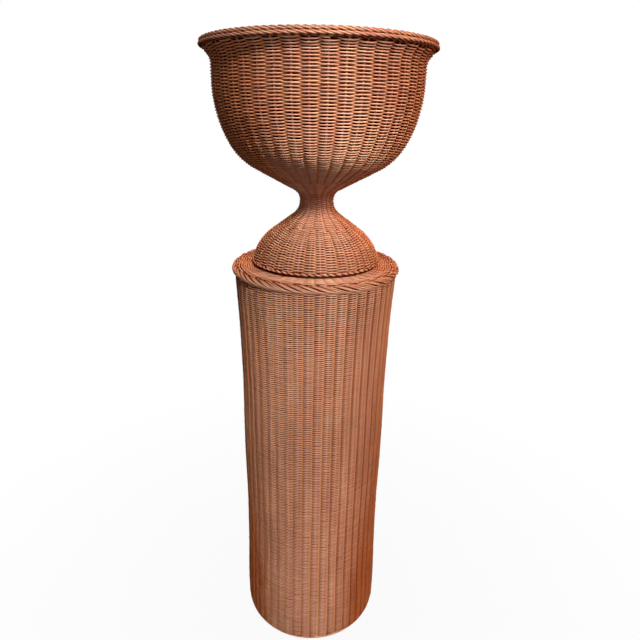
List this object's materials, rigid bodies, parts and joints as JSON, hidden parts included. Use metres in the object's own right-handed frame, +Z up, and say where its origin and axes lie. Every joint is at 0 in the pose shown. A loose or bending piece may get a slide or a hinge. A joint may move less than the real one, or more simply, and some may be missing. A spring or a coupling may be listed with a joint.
{
  "type": "wicker urn planter on a column",
  "caption": "Woven wicker planter: a flared bowl on a slim neck and bell foot, standing loose on a tall woven column with a plaited border, with a lift-out pot liner.",
  "frame": {"origin": "on the floor at the middle of the column's base", "axes": "+Z up the column through the middle of the bowl; -Y is the side that faces the camera"},
  "size_m": [0.4765, 0.4766, 1.4475],
  "materials": {
    "weave": "stained reed, satin",
    "stakes": "stained reed, satin",
    "borders": "stained reed, satin",
    "cane": "bare cane",
    "plywood": "bare plywood",
    "core_wood": "bare turned wood",
    "fasteners": "bright wire",
    "liner": "dull zinc coating"
  },
  "bodies": {
    "column": {"column_wall": "weave", "column_stakes": "stakes", "column_base_border": "borders", "column_top_border": "borders", "column_top_weave": "weave", "column_top_spokes": "stakes", "top_board": "plywood", "frame_top_hoop": "cane", "frame_middle_hoop": "cane", "frame_base_hoop": "cane", "frame_post_1": "cane", "frame_post_2": "cane", "frame_post_3": "cane", "frame_post_4": "cane", "hoop_brads": "fasteners", "board_brads": "fasteners"},
    "urn": {"bowl_wall": "weave", "bowl_stakes": "stakes", "rim_border": "borders", "rim_hoop": "cane", "foot_wall": "weave", "foot_stakes": "stakes", "foot_border": "borders", "foot_hoop": "cane", "foot_brace": "core_wood", "foot_brads": "fasteners", "neck_core": "core_wood", "bowl_floor": "plywood", "core_screws": "fasteners"},
    "liner": {"pot_liner": "liner"}
  },
  "joints": [
    {"name": "urn_lift", "type": "slide", "parent": "column", "child": "urn", "axis": [0, 0, 1], "range_m": [0, 0.3]},
    {"name": "liner_lift", "type": "slide", "parent": "urn", "child": "liner", "axis": [0, 0, 1], "range_m": [0, 0.26]}
  ]
}
